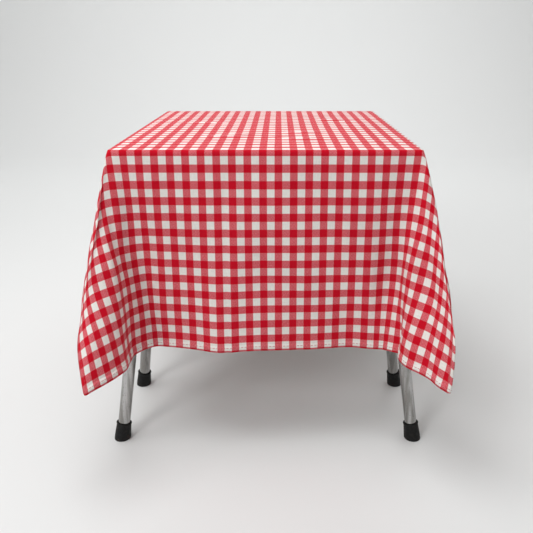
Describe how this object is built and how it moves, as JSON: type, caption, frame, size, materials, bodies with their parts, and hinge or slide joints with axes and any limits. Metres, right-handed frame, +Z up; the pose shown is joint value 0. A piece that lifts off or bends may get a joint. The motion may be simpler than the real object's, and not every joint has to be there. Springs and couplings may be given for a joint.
{
  "type": "tablecloth on a trestle table",
  "caption": "Checked cotton tablecloth draped over a rectangular board on folding splayed-leg steel trestles with rubber feet",
  "frame": {"origin": "on the floor under the middle of the board", "axes": "+X along the front edge to the right, +Y away from the front edge, +Z up"},
  "size_m": [0.8592, 1.3264, 0.7403],
  "materials": {
    "gingham_cotton": "plain woven cotton, red and white check",
    "tabletop_laminate": "satin laminate",
    "edge_band_plastic": "matte",
    "beech_bearer": "clear varnish",
    "leg_steel": "dull worn steel tube",
    "zinc_steel": "zinc plated",
    "ferrule_rubber": "worn black rubber"
  },
  "bodies": {
    "table_top": {"tabletop_board": "tabletop_laminate", "edge_band_front": "edge_band_plastic", "edge_band_back": "edge_band_plastic", "edge_band_left": "edge_band_plastic", "edge_band_right": "edge_band_plastic", "near_bearer": "beech_bearer", "near_bolt_left": "zinc_steel", "near_bracket_left": "zinc_steel", "near_bolt_right": "zinc_steel", "near_bracket_right": "zinc_steel", "near_front_pivot_tube": "zinc_steel", "near_back_pivot_tube": "zinc_steel", "far_bearer": "beech_bearer", "far_bolt_left": "zinc_steel", "far_bracket_left": "zinc_steel", "far_bolt_right": "zinc_steel", "far_bracket_right": "zinc_steel", "far_front_pivot_tube": "zinc_steel", "far_back_pivot_tube": "zinc_steel"},
    "tablecloth": {"tablecloth_panel": "gingham_cotton"},
    "near_front_frame": {"near_front_sleeve": "leg_steel", "near_front_crossbar": "leg_steel", "near_front_leg_left": "leg_steel", "near_front_ferrule_left": "ferrule_rubber", "near_front_leg_right": "leg_steel", "near_front_ferrule_right": "ferrule_rubber"},
    "near_front_stays": {"near_front_stay_left": "zinc_steel", "near_front_stay_right": "zinc_steel"},
    "near_back_frame": {"near_back_sleeve": "leg_steel", "near_back_crossbar": "leg_steel", "near_back_leg_left": "leg_steel", "near_back_ferrule_left": "ferrule_rubber", "near_back_leg_right": "leg_steel", "near_back_ferrule_right": "ferrule_rubber"},
    "near_back_stays": {"near_back_stay_left": "zinc_steel", "near_back_stay_right": "zinc_steel"},
    "far_front_frame": {"far_front_sleeve": "leg_steel", "far_front_crossbar": "leg_steel", "far_front_leg_left": "leg_steel", "far_front_ferrule_left": "ferrule_rubber", "far_front_leg_right": "leg_steel", "far_front_ferrule_right": "ferrule_rubber"},
    "far_front_stays": {"far_front_stay_left": "zinc_steel", "far_front_stay_right": "zinc_steel"},
    "far_back_frame": {"far_back_sleeve": "leg_steel", "far_back_crossbar": "leg_steel", "far_back_leg_left": "leg_steel", "far_back_ferrule_left": "ferrule_rubber", "far_back_leg_right": "leg_steel", "far_back_ferrule_right": "ferrule_rubber"},
    "far_back_stays": {"far_back_stay_left": "zinc_steel", "far_back_stay_right": "zinc_steel"}
  },
  "joints": [
    {"name": "tablecloth_lift_off", "type": "slide", "parent": "table_top", "child": "tablecloth", "axis": [0, 0, 1], "range_m": [0, 0.55]},
    {"name": "near_front_fold", "type": "hinge", "parent": "table_top", "child": "near_front_frame", "pos_m": [0, -0.346, 0.69], "axis": [1, 0, 0], "range_deg": [0, 9]},
    {"name": "near_front_stay_fold", "type": "hinge", "parent": "near_front_frame", "child": "near_front_stays", "pos_m": [0, -0.36638, 0.5], "axis": [1, 0, 0], "range_deg": [-38.25, 0]},
    {"name": "near_back_fold", "type": "hinge", "parent": "table_top", "child": "near_back_frame", "pos_m": [0, -0.226, 0.69], "axis": [1, 0, 0], "range_deg": [-9, 0]},
    {"name": "near_back_stay_fold", "type": "hinge", "parent": "near_back_frame", "child": "near_back_stays", "pos_m": [0, -0.20562, 0.5], "axis": [1, 0, 0], "range_deg": [0, 38.25]},
    {"name": "far_front_fold", "type": "hinge", "parent": "table_top", "child": "far_front_frame", "pos_m": [0, 0.226, 0.69], "axis": [1, 0, 0], "range_deg": [0, 9]},
    {"name": "far_front_stay_fold", "type": "hinge", "parent": "far_front_frame", "child": "far_front_stays", "pos_m": [0, 0.20562, 0.5], "axis": [1, 0, 0], "range_deg": [-38.25, 0]},
    {"name": "far_back_fold", "type": "hinge", "parent": "table_top", "child": "far_back_frame", "pos_m": [0, 0.346, 0.69], "axis": [1, 0, 0], "range_deg": [-9, 0]},
    {"name": "far_back_stay_fold", "type": "hinge", "parent": "far_back_frame", "child": "far_back_stays", "pos_m": [0, 0.36638, 0.5], "axis": [1, 0, 0], "range_deg": [0, 38.25]}
  ],
  "couplings": [
    {"joint": "near_back_fold", "follows": "near_front_fold", "ratio": -1},
    {"joint": "near_front_stay_fold", "follows": "near_front_fold", "ratio": -4.25},
    {"joint": "near_back_stay_fold", "follows": "near_front_fold", "ratio": 4.25},
    {"joint": "far_back_fold", "follows": "far_front_fold", "ratio": -1},
    {"joint": "far_front_stay_fold", "follows": "far_front_fold", "ratio": -4.25},
    {"joint": "far_back_stay_fold", "follows": "far_front_fold", "ratio": 4.25}
  ]
}
